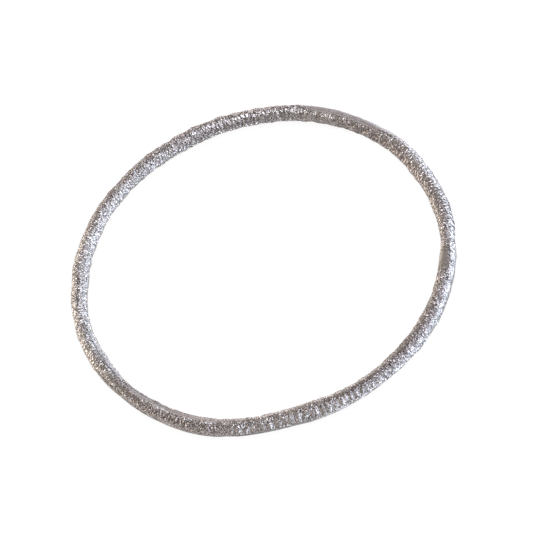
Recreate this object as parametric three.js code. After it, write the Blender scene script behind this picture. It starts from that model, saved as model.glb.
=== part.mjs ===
// Slip-on bangle bracelet. A length of round silver wire is hammered all over, bent into a
// ring and butted end to end, and the butt is closed with a thin seam of hard solder.
// Millimetres. +Z is the ring's axis, the ring lies on z = 0 and the origin is under its
// centre. The seam is on +X, and every angle below is counted from it, anticlockwise.

import * as THREE from 'three';

// Driving dimensions
const INNER_DIAMETER = 63.5; // clear opening, a medium wrist
const WIRE_DIAMETER = 3.0; // round wire stock
const SEAM_THICKNESS = 0.3; // solder left between the two wire ends
const SEAM_CLEARANCE = 0.02; // from the solder to each wire end
const NECK_LOSS = 0.55; // metal filed off across the wire when the seam was cleaned up
const NECK_SPREAD = 4; // degrees each side over which the file cut runs out

// Round wire is drawn as a polygon, with one flat under it to lie on and one on top
const WIRE_SIDES = 16;
const BAND_STEPS = 180;
const SEAM_STEPS = 1;

// Where the hammered ring stands out of round: out is how far the wire's middle has moved
// away from the centre, and spread is how far each side the bow runs
const BOWS = [
  { at: 26, spread: 10, out: -0.3 },
  { at: 77, spread: 13, out: 0.2 },
  { at: 119, spread: 5, out: -0.14 },
  { at: 152, spread: 8, out: 0.13 },
  { at: 180, spread: 5, out: -0.18 },
  { at: 210, spread: 8, out: -0.14 },
  { at: 252, spread: 13, out: 0.38 },
  { at: 281, spread: 11, out: -0.48 },
  { at: 332, spread: 16, out: 0.25 },
];

// Where the hammer left the wire fuller or leaner across, as seen along the ring's axis
const SWELLS = [
  { at: 36, spread: 8, full: 0.2 },
  { at: 56, spread: 5, full: -0.24 },
  { at: 118, spread: 18, full: 0.2 },
  { at: 138, spread: 4, full: -0.2 },
  { at: 172, spread: 9, full: 0.14 },
  { at: 192, spread: 4, full: -0.2 },
  { at: 209, spread: 5, full: 0.28 },
  { at: 225, spread: 5, full: -0.38 },
  { at: 252, spread: 5, full: 0.2 },
  { at: 286, spread: 6, full: 0.4 },
  { at: 308, spread: 6, full: -0.18 },
  { at: 332, spread: 7, full: 0.22 },
];

// Derived sizes
const middleRadius = (INNER_DIAMETER + WIRE_DIAMETER) / 2;
const wireRadius = WIRE_DIAMETER / 2;
const seamHalfAngle = SEAM_THICKNESS / 2 / middleRadius;
const clearanceAngle = SEAM_CLEARANCE / middleRadius;

const silver = new THREE.MeshStandardMaterial({ color: 0xd6d1ca, roughness: 0.28, metalness: 1 });
const solder = new THREE.MeshStandardMaterial({ color: 0xc9c3b4, roughness: 0.42, metalness: 1 });

// The middle of the wire, along part of the ring
class RingLine extends THREE.Curve {
  constructor(radius, height, startAngle, endAngle) {
    super();
    this.radius = radius;
    this.height = height;
    this.startAngle = startAngle;
    this.endAngle = endAngle;
  }

  angleAt(t) {
    return this.startAngle + t * (this.endAngle - this.startAngle);
  }

  getPoint(t, target = new THREE.Vector3()) {
    const angle = this.angleAt(t);
    return target.set(this.radius * Math.cos(angle), this.radius * Math.sin(angle), this.height);
  }

  getTangent(t, target = new THREE.Vector3()) {
    const angle = this.angleAt(t);
    return target.set(-Math.sin(angle), Math.cos(angle), 0);
  }
}

// A many-sided section with flats across it at the wire's own diameter, the first flat on
// its axes, so that the ring lies on a flat
function wireSection() {
  const section = new THREE.Shape();
  const cornerRadius = wireRadius / Math.cos(Math.PI / WIRE_SIDES);
  for (let side = 0; side < WIRE_SIDES; side += 1) {
    const angle = ((side + 0.5) * 2 * Math.PI) / WIRE_SIDES;
    const x = cornerRadius * Math.cos(angle);
    const y = cornerRadius * Math.sin(angle);
    if (side === 0) section.moveTo(x, y);
    else section.lineTo(x, y);
  }
  section.closePath();
  return section;
}

// How strongly a mark at one angle is felt at another, from 1 at its middle to nearly 0
// two spreads away, the short way round the ring
function reach(degrees, mark) {
  const apart = Math.abs(degrees - mark.at) % 360;
  const away = Math.min(apart, 360 - apart) / mark.spread;
  return Math.exp(-away * away);
}

function bowAt(degrees) {
  return BOWS.reduce((sum, bow) => sum + bow.out * reach(degrees, bow), 0);
}

function widthAt(degrees) {
  const filed = NECK_LOSS * reach(degrees, { at: 0, spread: NECK_SPREAD });
  return SWELLS.reduce((sum, swell) => sum + swell.full * reach(degrees, swell), WIRE_DIAMETER - filed);
}

// Hammering moves metal across the wire only, so wire ends and the flat under the ring
// stay in their planes
function hammer(geometry) {
  const position = geometry.attributes.position;
  for (let i = 0; i < position.count; i += 1) {
    const angle = Math.atan2(position.getY(i), position.getX(i));
    const degrees = THREE.MathUtils.radToDeg(angle);
    const across = Math.hypot(position.getX(i), position.getY(i)) - middleRadius;
    const radius = middleRadius + bowAt(degrees) + (across * widthAt(degrees)) / WIRE_DIAMETER;
    position.setX(i, radius * Math.cos(angle));
    position.setY(i, radius * Math.sin(angle));
  }
  geometry.computeVertexNormals();
  return geometry;
}

// One stretch of hammered wire between two angles of the ring
function wireStretch(startAngle, endAngle, steps) {
  const line = new RingLine(middleRadius, wireRadius, startAngle, endAngle);
  const geometry = new THREE.ExtrudeGeometry(wireSection(), { steps, extrudePath: line });
  return hammer(geometry);
}

function makeBand() {
  const start = seamHalfAngle;
  const band = new THREE.Mesh(wireStretch(start, 2 * Math.PI - start, BAND_STEPS), silver);
  band.name = 'band';
  return band;
}

function makeSolderSeam() {
  const half = seamHalfAngle - clearanceAngle;
  const seam = new THREE.Mesh(wireStretch(-half, half, SEAM_STEPS), solder);
  seam.name = 'solder_seam';
  return seam;
}

const bangle = new THREE.Group();
bangle.add(makeBand(), makeSolderSeam());

export default bangle;
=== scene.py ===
# Looks for the hammered slip-on bangle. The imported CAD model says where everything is, the
# pieces here stand in for its plain solids, and all lengths are in metres.

import math

import bpy
from mathutils import Matrix, Vector


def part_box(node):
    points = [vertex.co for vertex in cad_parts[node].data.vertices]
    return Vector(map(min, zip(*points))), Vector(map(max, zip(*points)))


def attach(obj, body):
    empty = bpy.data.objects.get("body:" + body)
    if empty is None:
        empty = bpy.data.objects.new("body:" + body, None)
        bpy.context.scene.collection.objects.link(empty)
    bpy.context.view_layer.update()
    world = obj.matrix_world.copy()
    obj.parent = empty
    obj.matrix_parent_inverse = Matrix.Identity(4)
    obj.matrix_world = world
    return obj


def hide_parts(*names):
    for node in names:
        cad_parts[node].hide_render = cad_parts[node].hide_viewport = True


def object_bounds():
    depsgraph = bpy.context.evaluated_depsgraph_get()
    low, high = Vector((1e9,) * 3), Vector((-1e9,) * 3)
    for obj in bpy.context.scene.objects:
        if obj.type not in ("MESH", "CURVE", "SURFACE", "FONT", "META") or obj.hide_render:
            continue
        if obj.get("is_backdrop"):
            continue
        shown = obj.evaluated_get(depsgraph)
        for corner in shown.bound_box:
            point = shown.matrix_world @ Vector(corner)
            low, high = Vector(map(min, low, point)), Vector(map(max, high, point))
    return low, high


millimetre = 0.001

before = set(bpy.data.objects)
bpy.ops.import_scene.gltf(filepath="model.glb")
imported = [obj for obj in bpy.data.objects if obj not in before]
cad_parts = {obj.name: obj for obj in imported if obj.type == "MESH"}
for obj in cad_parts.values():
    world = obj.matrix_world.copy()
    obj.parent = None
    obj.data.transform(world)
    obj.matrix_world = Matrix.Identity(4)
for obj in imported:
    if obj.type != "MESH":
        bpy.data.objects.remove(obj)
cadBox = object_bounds()
bpy.ops.object.select_all(action="DESELECT")
ringHeight = (cadBox[0][2] + cadBox[1][2]) / 2
wireRadius = (cadBox[1][2] - cadBox[0][2]) / 2
print("frame loaded:", sorted(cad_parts))


class Value:
    # One output socket. Plain arithmetic on it adds Math nodes.
    def __init__(self, tree, socket):
        self.tree = tree
        self.socket = socket

    def math(self, operation, *values):
        sockets = dict(enumerate(values))
        return addNode(self.tree, "ShaderNodeMath", {"operation": operation}, sockets)

    def __add__(self, other):
        return self.math("ADD", self, other)

    def __radd__(self, other):
        return self.math("ADD", other, self)

    def __sub__(self, other):
        return self.math("SUBTRACT", self, other)

    def __rsub__(self, other):
        return self.math("SUBTRACT", other, self)

    def __mul__(self, other):
        return self.math("MULTIPLY", self, other)

    def __rmul__(self, other):
        return self.math("MULTIPLY", other, self)


def addNode(tree, kind, settings, sockets, output=0):
    # Settings come first, then what goes in each input. Sockets go by name or by number.
    node = tree.nodes.new(kind)
    for name, setting in settings.items():
        setattr(node, name, setting)
    for key, value in sockets.items():
        if isinstance(value, Value):
            tree.links.new(value.socket, node.inputs[key])
        else:
            node.inputs[key].default_value = value
    return Value(tree, node.outputs[output])


def smoothStep(value, low, high):
    # 0 below low, 1 above high, with an eased rise between
    settings = {"interpolation_type": "SMOOTHSTEP"}
    sockets = {"Value": value, "From Min": low, "From Max": high}
    return addNode(value.tree, "ShaderNodeMapRange", settings, sockets)


def mixColor(factor, first, second, blend="MIX"):
    # The node has a set of sockets for each kind of value: these are the ones for colours
    settings = {"data_type": "RGBA", "blend_type": blend}
    return addNode(factor.tree, "ShaderNodeMix", settings, {0: factor, 6: first, 7: second}, 2)


def stretch(place, scale):
    return addNode(place.tree, "ShaderNodeMapping", {}, {"Vector": place, "Scale": scale})


def addNoise(place, scale, detail=2):
    sockets = {"Vector": place, "Scale": scale, "Detail": detail}
    return addNode(place.tree, "ShaderNodeTexNoise", {}, sockets)


def addCells(place, scale):
    # How far it is to the middle of the nearest cell
    return addNode(place.tree, "ShaderNodeTexVoronoi", {}, {"Vector": place, "Scale": scale})


def addBump(height, strength, distance):
    sockets = {"Height": height, "Strength": strength, "Distance": distance}
    return addNode(height.tree, "ShaderNodeBump", {}, sockets)


def readStored(tree, name, output="Fac"):
    # What the modelling stored at each point: a number, or a place on output "Vector"
    return addNode(tree, "ShaderNodeAttribute", {"attribute_name": name}, {}, output)


view = {
    "azimuth": 17.6,  # degrees round from straight in front, towards the seam
    "elevation": 52.7,
    "roll": -21.4,
    "distance": 0.4655,
    "lens": 178.8,
    "shift": (0.0101, -0.0044),
    "farthest": 10,  # metres, past the floor's far edge
}


def addCamera():
    azimuth = math.radians(view["azimuth"])
    elevation = math.radians(view["elevation"])
    back = Vector((
        math.sin(azimuth) * math.cos(elevation),
        -math.cos(azimuth) * math.cos(elevation),
        math.sin(elevation),
    ))
    middle = Vector((0, 0, ringHeight))
    roll = Matrix.Rotation(math.radians(view["roll"]), 3, "Z")
    turn = back.to_track_quat("Z", "Y").to_matrix() @ roll
    bpy.ops.object.camera_add(location=middle + back * view["distance"], rotation=turn.to_euler())
    camera = bpy.context.object
    camera.data.lens = view["lens"]
    camera.data.shift_x, camera.data.shift_y = view["shift"]
    camera.data.clip_end = view["farthest"]
    bpy.context.scene.camera = camera
    print("camera set")


addCamera()


bending = {
    "stations": 72,  # places round the ring where the CAD wire is measured, a multiple of 4
    "reach": 0.25,  # how near a station a point has to be, as a share of the way to the next
    "steps": 16,  # of the line from one station to the next
}


def measureRing():
    # The wire's middle radius and its width at each station round the CAD ring
    stations = bending["stations"]
    radii = [[] for _ in range(stations)]
    for node in ("band", "solder_seam"):
        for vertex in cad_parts[node].data.vertices:
            turns = math.atan2(vertex.co.y, vertex.co.x) / (2 * math.pi)
            nearest = round(turns * stations)
            if abs(turns * stations - nearest) < bending["reach"]:
                radii[nearest % stations].append(math.hypot(vertex.co.x, vertex.co.y))
    middles = [(min(found) + max(found)) / 2 for found in radii]
    widths = [max(found) - min(found) for found in radii]
    return middles, widths


ringMiddles, ringWidths = measureRing()
seamLow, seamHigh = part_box("solder_seam")
seamLength = seamHigh.y - seamLow.y


def onlySelect(piece):
    bpy.ops.object.select_all(action="DESELECT")
    piece.select_set(True)
    bpy.context.view_layer.objects.active = piece


def applyModifiers(piece):
    onlySelect(piece)
    for modifier in list(piece.modifiers):
        bpy.ops.object.modifier_apply(modifier=modifier.name)


def removeObject(thing):
    onlySelect(thing)
    bpy.ops.object.delete()


def drawRingLine():
    # The line that the wire is bent along: a circle of 4 points, cut finer and then pulled
    # to the CAD ring
    bpy.ops.object.select_all(action="DESELECT")
    bpy.ops.curve.primitive_bezier_circle_add(radius=1)
    line = bpy.context.object
    bpy.ops.object.mode_set(mode="EDIT")
    bpy.ops.curve.subdivide(number_cuts=bending["stations"] // 4 - 1)
    points = line.data.splines[0].bezier_points
    for i, point in enumerate(points):
        angle = 2 * math.pi * i / len(points)
        point.co = (ringMiddles[i] * math.cos(angle), ringMiddles[i] * math.sin(angle), ringHeight)
        point.radius = ringWidths[i] / (2 * wireRadius)
    bpy.ops.curve.select_all(action="SELECT")
    bpy.ops.curve.handle_type_set(type="AUTOMATIC")
    bpy.ops.object.mode_set(mode="OBJECT")
    line.data.twist_mode = "Z_UP"
    line.data.resolution_u = bending["steps"]
    line.data.use_radius = True
    return line


wireForm = {
    "sides": 72,
    "crease": 60,  # degrees, past which an edge stays sharp
}


def drawStraightWire(name, start, end, cuts):
    # A round rod along X, cut across over and over
    bpy.ops.object.select_all(action="DESELECT")
    bpy.ops.mesh.primitive_cylinder_add(
        vertices=wireForm["sides"], radius=wireRadius, depth=end - start,
        location=((start + end) / 2, 0, 0), rotation=(0, math.pi / 2, 0))
    wire = bpy.context.object
    wire.name = name
    bpy.ops.object.transform_apply(location=True, rotation=True, scale=True)
    for number in cuts:
        cutAcross(wire, number)
    return wire


def cutAcross(wire, number):
    # Only the edges that run along the wire are selected, so subdividing cuts straight across
    bpy.ops.object.mode_set(mode="EDIT")
    bpy.ops.mesh.select_mode(type="EDGE")
    bpy.ops.mesh.select_all(action="DESELECT")
    bpy.ops.object.mode_set(mode="OBJECT")
    points = wire.data.vertices
    for edge in wire.data.edges:
        first, second = (points[i].co for i in edge.vertices)
        edge.select = abs(first.x - second.x) > (first - second).yz.length
    bpy.ops.object.mode_set(mode="EDIT")
    bpy.ops.mesh.subdivide(number_cuts=number)
    bpy.ops.object.mode_set(mode="OBJECT")


def keepWirePlace(wire):
    # Patterns that follow the wire read where each point was while the wire was straight
    place = wire.data.attributes.new("wirePlace", "FLOAT_VECTOR", "POINT")
    for vertex, stored in zip(wire.data.vertices, place.data):
        stored.vector = vertex.co / millimetre


def bendToRing(wire, line):
    bend = wire.modifiers.new("bend", "CURVE")
    bend.object = line
    bend.deform_axis = "POS_X"
    applyModifiers(wire)
    onlySelect(wire)
    bpy.ops.object.shade_smooth_by_angle(angle=math.radians(wireForm["crease"]))


band = {
    "cuts": (37, 35),  # the wire is cut across 37 times, and then each length 35 times
    # each round of hammering: pitch along and across the wire, and depth, in millimetres.
    # The ones that took one place only say where, as the lists below do.
    "blows": [
        {"pitch": (2.0, 2.4), "depth": 0.18},
        {"pitch": (0.85, 1.1), "depth": 0.11},
        {"pitch": (0.62, 1.7), "depth": 0.26, "ring": (106, 24), "wire": (128, 36)},
        {"pitch": (0.85, 2.0), "depth": 0.60, "ring": (288, 28), "wire": (46, 30)},
        {"pitch": (1.1, 1.1), "depth": 0.22, "ring": (350, 44), "wire": (40, 45)},
        {"pitch": (1.3, 1.6), "depth": 0.28, "ring": (124, 30), "wire": (20, 60)},
    ],
    "blowLevel": 0.38,  # how much of each blow goes inwards
    # where each round's pattern starts: metres along the wire for each round before it, and
    # then metres across it
    "patternStep": 0.37,
    "patternStart": (0.11, 0.23),
    # places that the hammer left smoother: degrees round the ring, degrees round the wire
    # from its outward side over the top, the half size of each, and how much is left there
    # of the hammering and of the pits
    "rests": [
        {"ring": (67, 16), "wire": (72, 34), "marks": 0.04, "pits": 0.00},
        {"ring": (36, 24), "wire": (100, 14), "marks": 0.50, "pits": 1.00},
        {"ring": (102, 22), "wire": (128, 30), "marks": 0.40, "pits": 0.30},
        {"ring": (212, 12), "wire": (122, 22), "marks": 0.25, "pits": 0.30},
        {"ring": (229, 9), "wire": (74, 16), "marks": 0.20, "pits": 0.30},
        {"ring": (227, 9), "wire": (22, 12), "marks": 0.08, "pits": 0.00},
        {"ring": (250, 24), "wire": (110, 18), "marks": 0.12, "pits": 0.10},
        {"ring": (246, 22), "wire": (-12, 24), "marks": 0.10, "pits": 0.00},
        {"ring": (288, 26), "wire": (-18, 22), "marks": 0.15, "pits": 0.00},
        {"ring": (292, 28), "wire": (38, 24), "marks": 0.30, "pits": 0.30},
        {"ring": (306, 38), "wire": (104, 24), "marks": 0.55, "pits": 0.10},
        {"ring": (350, 44), "wire": (35, 36), "marks": 0.50, "pits": 0.60},
        {"ring": (352, 12), "wire": (14, 32), "marks": 0.10, "pits": 0.00},
        {"ring": (357, 5), "wire": (118, 50), "marks": 0.03, "pits": 0.00},
    ],
    # how brown the silver is made, from 0 to 1: tarnish over most of it, and the places that
    # differ, which are painted shade where they brown a zone and painted highlight where they
    # bring back the bright silver
    "tarnishAndShade": 0.32,
    "tarnishAndPaintedShade": [
        {"ring": (187, 24), "wire": (56, 32), "tarnishAndShade": 0.00},
        {"ring": (190, 14), "wire": (92, 5), "tarnishAndShade": 0.60},
        {"ring": (136, 24), "wire": (84, 24), "tarnishAndShade": 0.65},
        {"ring": (104, 16), "wire": (72, 18), "tarnishAndShade": 0.65},
        {"ring": (298, 26), "wire": (120, 24), "tarnishAndShade": 0.00},
        {"ring": (168, 20), "wire": (158, 26), "tarnishAndShade": 0.10},
        {"ring": (5, 11), "wire": (112, 24), "tarnishAndShade": 0.10},
        {"ring": (250, 22), "wire": (62, 16), "tarnishAndShade": 0.90},
        {"ring": (234, 22), "wire": (126, 20), "tarnishAndShade": 0.70},
        {"ring": (228, 12), "wire": (88, 12), "tarnishAndShade": 0.65},
        {"ring": (240, 30), "wire": (-14, 26), "tarnishAndShade": 0.05},
        {"ring": (70, 18), "wire": (50, 34), "tarnishAndShade": 0.90},
        {"ring": (56, 16), "wire": (124, 14), "tarnishAndShade": 0.75},
        {"ring": (316, 22), "wire": (76, 20), "tarnishAndShade": 0.90},
        {"ring": (342, 14), "wire": (62, 20), "tarnishAndShade": 0.85},
        {"ring": (12, 16), "wire": (78, 12), "tarnishAndShade": 0.70},
        {"ring": (4, 36), "wire": (106, 14), "tarnishAndShade": 0.60},
        {"ring": (42, 18), "wire": (150, 24), "tarnishAndShade": 0.80},
        {"ring": (104, 18), "wire": (168, 18), "tarnishAndShade": 0.65},
        {"ring": (356, 5), "wire": (118, 46), "tarnishAndShade": 0.35},
        # a painted highlight: a bright bare streak along the smooth rim
        {"ring": (222, 14), "wire": (30, 16), "tarnishAndShade": 0.00},
        {"ring": (350, 15), "wire": (8, 36), "tarnishAndShade": 0.12},
        {"ring": (284, 22), "wire": (42, 22), "tarnishAndShade": 0.12},
    ],
}


def fadeFrom(distance, size):
    # 1 up to half the size, 0 past one and a half times it, and eased between
    edge = min(max((1.5 * size - distance) / size, 0), 1)
    return edge * edge * (3 - 2 * edge)


def angleBetween(first, second):
    return abs((first - second + 180) % 360 - 180)


def insideOf(place, ringAngle, wireAngle):
    # How much a point belongs to one of the listed places, from 0 to 1
    ringMiddle, ringSize = place["ring"]
    wireMiddle, wireSize = place["wire"]
    share = fadeFrom(angleBetween(ringAngle, ringMiddle), ringSize)
    return share * fadeFrom(angleBetween(wireAngle, wireMiddle), wireSize)


def leftAt(kind, ringAngle, wireAngle):
    # 1 where the wire was fully hammered or pitted, less where it was left smooth
    left = 1
    for rest in band["rests"]:
        left = min(left, 1 - insideOf(rest, ringAngle, wireAngle) * (1 - rest[kind]))
    return left


def tarnishAndShadeAt(ringAngle, wireAngle):
    # tarnish everywhere, with painted shade where a listed place browns a zone and a painted
    # highlight where it brings back the bright silver
    tarnishAndShade = band["tarnishAndShade"]
    for place in band["tarnishAndPaintedShade"]:
        tarnishAndShade = tarnishAndShade + insideOf(place, ringAngle, wireAngle) * (place["tarnishAndShade"] - tarnishAndShade)
    return tarnishAndShade


def markHammering(wire, length):
    # A weight for each round of blows, and what the metal's finish, painted shade and painted
    # highlight read at each point
    angles = []
    for vertex in wire.data.vertices:
        wireAngle = math.degrees(math.atan2(vertex.co.z, -vertex.co.y))
        angles.append((360 * vertex.co.x / length, wireAngle))
    finishAndShade = {
        "hammering": [leftAt("marks", *pair) for pair in angles],
        "pitting": [leftAt("pits", *pair) for pair in angles],
        "tarnishAndShade": [tarnishAndShadeAt(*pair) for pair in angles],
    }
    for number, blow in enumerate(band["blows"]):
        group = wire.vertex_groups.new(name=f"blows{number}")
        weights = finishAndShade["hammering"]
        if "ring" in blow:
            weights = [insideOf(blow, *pair) for pair in angles]
        for index, weight in enumerate(weights):
            if weight > 0:
                group.add([index], weight, "REPLACE")
    for name, values in finishAndShade.items():
        stored = wire.data.attributes.new(name, "FLOAT", "POINT")
        stored.data.foreach_set("value", values)


def hammer(wire):
    # Each round displaces the wire by a cell pattern, which an empty object stretches
    spacers = []
    for number, blow in enumerate(band["blows"]):
        along, across = blow["pitch"]
        start = (band["patternStep"] * number, *band["patternStart"])
        bpy.ops.object.empty_add(location=start)
        spacer = bpy.context.object
        spacer.scale = (along * millimetre, across * millimetre, across * millimetre)
        spacers.append(spacer)
        marks = bpy.data.textures.new(f"blows{number}", "VORONOI")
        marks.distance_metric = "DISTANCE_SQUARED"
        marks.noise_scale = 1
        dent = wire.modifiers.new(f"dent{number}", "DISPLACE")
        dent.texture = marks
        dent.texture_coords = "OBJECT"
        dent.texture_coords_object = spacer
        dent.mid_level = band["blowLevel"]
        dent.strength = blow["depth"] * millimetre
        dent.vertex_group = f"blows{number}"
    bpy.context.view_layer.update()
    applyModifiers(wire)
    for spacer in spacers:
        removeObject(spacer)


def makeBand(line):
    length = line.data.splines[0].calc_length()
    halfSeam = seamLength / 2
    wire = drawStraightWire("hammeredBand", halfSeam, length - halfSeam, band["cuts"])
    keepWirePlace(wire)
    markHammering(wire, length)
    hammer(wire)
    bendToRing(wire, line)
    print("band made:", len(wire.data.polygons), "faces")
    return wire


def makeSeam(line):
    wire = drawStraightWire("solderSeam", -seamLength / 2, seamLength / 2, solder["cuts"])
    keepWirePlace(wire)
    bendToRing(wire, line)
    print("seam made:", len(wire.data.polygons), "faces")
    return wire


def startMaterial(name):
    material = bpy.data.materials.new(name)
    material.use_nodes = True
    tree = material.node_tree
    shader = next(node for node in tree.nodes if node.type == "BSDF_PRINCIPLED")
    return material, tree, shader


silver = {
    "bright": (0.96, 0.945, 0.925, 1),
    "brown": (0.46, 0.42, 0.42, 1),
    "patches": 0.8,  # uneven patches of toning to the millimetre
    "patchDetail": 3,
    "patchShare": 0.4,  # how far they move the toning
    "marks": (2.4, 1.9, 1.9),  # small hammer marks to the millimetre, along and across
    "markDepth": 0.22,  # millimetres, as the other depths are
    "hollow": (0.54, 0.50, 0.49, 1),  # how much darker the bottoms of the small marks are
    "hollowEdge": (0.22, 0.48),  # where a bottom ends, as a share of the marks' spacing
    "grain": 4.5,  # to the millimetre
    "grainDepth": 0.06,
    "pits": 1.0,  # deeper round pits to the millimetre
    "pitEdge": (0.10, 0.30),  # bottom and rim, as a share of their spacing
    "pitDepth": 0.11,
    "drawn": (0.12, 5, 5),  # lines left by drawing the wire
    "drawnDepth": 0.10,
    "roughness": 0.03,
    "grainRoughness": 0.14,  # added where the grain stands highest
    "smoothRoughness": 0.22,  # added where the hammer left the wire smooth
}


def silverMaterial():
    material, tree, shader = startMaterial("hammeredSilver")
    shader.inputs["Metallic"].default_value = 1
    place = readStored(tree, "wirePlace", "Vector")
    hammering = readStored(tree, "hammering")
    pitting = readStored(tree, "pitting")
    tarnishAndShade = readStored(tree, "tarnishAndShade")
    marks = addCells(stretch(place, silver["marks"]), 1)
    grain = addNoise(place, silver["grain"])
    lines = addNoise(stretch(place, silver["drawn"]), 1)
    pits = addCells(place, silver["pits"])
    beaten = marks * silver["markDepth"] + grain * silver["grainDepth"]
    height = beaten * hammering + lines * (1 - hammering) * silver["drawnDepth"]
    height = height + smoothStep(pits, *silver["pitEdge"]) * pitting * silver["pitDepth"]
    bump = addBump(height, 1, millimetre)
    tree.links.new(bump.socket, shader.inputs["Normal"])
    smooth = 1 - hammering
    roughness = silver["roughness"] + grain * silver["grainRoughness"]
    roughness = roughness + smooth * smooth * silver["smoothRoughness"]
    tree.links.new(roughness.socket, shader.inputs["Roughness"])
    uneven = addNoise(place, silver["patches"], silver["patchDetail"]) - 0.5
    # the brown is tarnish, and in the listed places also painted shade; bare bright silver there
    # is a painted highlight
    color = mixColor(tarnishAndShade + uneven * silver["patchShare"], silver["bright"], silver["brown"])
    hollow = (1 - smoothStep(marks, *silver["hollowEdge"])) * hammering
    color = mixColor(hollow, color, silver["hollow"], "MULTIPLY")
    tree.links.new(color.socket, shader.inputs["Base Color"])
    return material


solder = {
    "cuts": (2,),
    "bright": (0.84, 0.82, 0.77, 1),
    "dull": (0.66, 0.63, 0.58, 1),
    "fileLines": (9, 0.6, 0.6),  # file marks that run round the wire, to the millimetre
    "fileEdge": (0.4, 0.6),  # between the dull ones and the bright ones
    "fileDepth": 0.04,  # millimetres
    "fileStrength": 0.6,
    "roughness": 0.16,
    "fileRoughness": 0.2,  # added on the highest lines
}


def solderMaterial():
    material, tree, shader = startMaterial("silverSolder")
    shader.inputs["Metallic"].default_value = 1
    place = readStored(tree, "wirePlace", "Vector")
    lines = addNoise(stretch(place, solder["fileLines"]), 1)
    bump = addBump(lines, solder["fileStrength"], solder["fileDepth"] * millimetre)
    tree.links.new(bump.socket, shader.inputs["Normal"])
    roughness = solder["roughness"] + lines * solder["fileRoughness"]
    tree.links.new(roughness.socket, shader.inputs["Roughness"])
    color = mixColor(smoothStep(lines, *solder["fileEdge"]), solder["dull"], solder["bright"])
    tree.links.new(color.socket, shader.inputs["Base Color"])
    return material


def giveMaterial(piece, material):
    piece.data.materials.clear()
    piece.data.materials.append(material)


ringLine = drawRingLine()
bandPiece = makeBand(ringLine)
seamPiece = makeSeam(ringLine)
removeObject(ringLine)
giveMaterial(bandPiece, silverMaterial())
giveMaterial(seamPiece, solderMaterial())
standIns = (
    (bandPiece, "band", "hammered_silver"),
    (seamPiece, "solder_seam", "silver_solder"),
)
for piece, node, slot in standIns:
    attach(piece, "root")
    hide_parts(node)

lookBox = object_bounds()

white = (1, 1, 1, 1)

floor = {
    "size": 4,
    "shade": 0.25,  # how much of the floor's white comes from the light on it
    "glow": 0.90,
    "roughness": 0.9,
}


def addFloor():
    bpy.ops.object.select_all(action="DESELECT")
    bpy.ops.mesh.primitive_plane_add(size=floor["size"], location=(0, 0, lookBox[0][2]))
    ground = bpy.context.object
    ground.name = "floor"
    material, tree, shader = startMaterial("whitePaper")
    shader.inputs["Base Color"].default_value = (floor["shade"], floor["shade"], floor["shade"], 1)
    shader.inputs["Roughness"].default_value = floor["roughness"]
    shader.inputs["Emission Color"].default_value = white
    shader.inputs["Emission Strength"].default_value = floor["glow"]
    giveMaterial(ground, material)
    ground.visible_glossy = False
    ground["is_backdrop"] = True


room = {
    "plain": (0.36, 0.325, 0.315, 1),
    "lampPitch": 2.2,  # lamps to one radius of the room
    "lampEdge": (0.38, 0.46),  # as a share of their spacing
    "lampLight": 2.40,
    "gapLight": 0.305,
    # which way, how wide as the cosine of the angle from there, and the light each adds:
    # a lamp overhead, the pale glow of what the ring lies on, and the room's brighter sides
    "overhead": {"toward": (0, 0, 1), "edge": (0.955, 0.985), "light": (2.2, 2.2, 2.4, 1)},
    "ground": {
        "toward": (0.15, -0.30, -0.94), "edge": (0.84, 0.96), "light": (0.34, 0.35, 0.35, 1),
    },
    "sides": [
        {"toward": (0.80, -0.35, -0.50), "edge": (0.60, 0.88), "light": (0.68, 0.80, 0.98, 1)},
        {"toward": (0.70, 0.69, -0.12), "edge": (0.60, 0.88), "light": (0.50, 0.59, 0.72, 1)},
        {"toward": (-0.36, 0.85, -0.38), "edge": (0.72, 0.94), "light": (0.17, 0.15, 0.155, 1)},
        {"toward": (-0.90, 0.38, 0.18), "edge": (0.58, 0.84), "light": (0.55, 0.475, 0.385, 1)},
        {"toward": (0.58, -0.18, 0.80), "edge": (0.60, 0.88), "light": (0.20, 0.22, 0.28, 1)},
    ],
}


def addSide(direction, color, side):
    settings = {"operation": "DOT_PRODUCT"}
    sockets = {0: direction, 1: side["toward"]}
    facing = addNode(direction.tree, "ShaderNodeVectorMath", settings, sockets, "Value")
    return mixColor(smoothStep(facing, *side["edge"]), color, side["light"], "ADD")


def lightRoom():
    # The room is drawn by direction: many soft lamps with gaps between, for the hammer marks
    # to catch, on walls with brighter sides. The lamp overhead and the ground have no gaps.
    world = bpy.data.worlds.new("room")
    bpy.context.scene.world = world
    world.use_nodes = True
    tree = world.node_tree
    background = next(node for node in tree.nodes if node.type == "BACKGROUND")
    direction = addNode(tree, "ShaderNodeTexCoord", {}, {})
    gaps = smoothStep(addCells(direction, room["lampPitch"]), *room["lampEdge"])
    light = room["lampLight"] - gaps * (room["lampLight"] - room["gapLight"])
    color = room["plain"]
    for side in room["sides"]:
        color = addSide(direction, color, side)
    sockets = {0: color, "Scale": light}
    color = addNode(tree, "ShaderNodeVectorMath", {"operation": "SCALE"}, sockets)
    color = addSide(direction, color, room["overhead"])
    color = addSide(direction, color, room["ground"])
    cameraRay = addNode(tree, "ShaderNodeLightPath", {}, {}, "Is Camera Ray")
    color = mixColor(cameraRay, color, white)
    tree.links.new(color.socket, background.inputs["Color"])


addFloor()
lightRoom()
bpy.context.scene.view_settings.view_transform = "Standard"
print("stage lit")

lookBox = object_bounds()
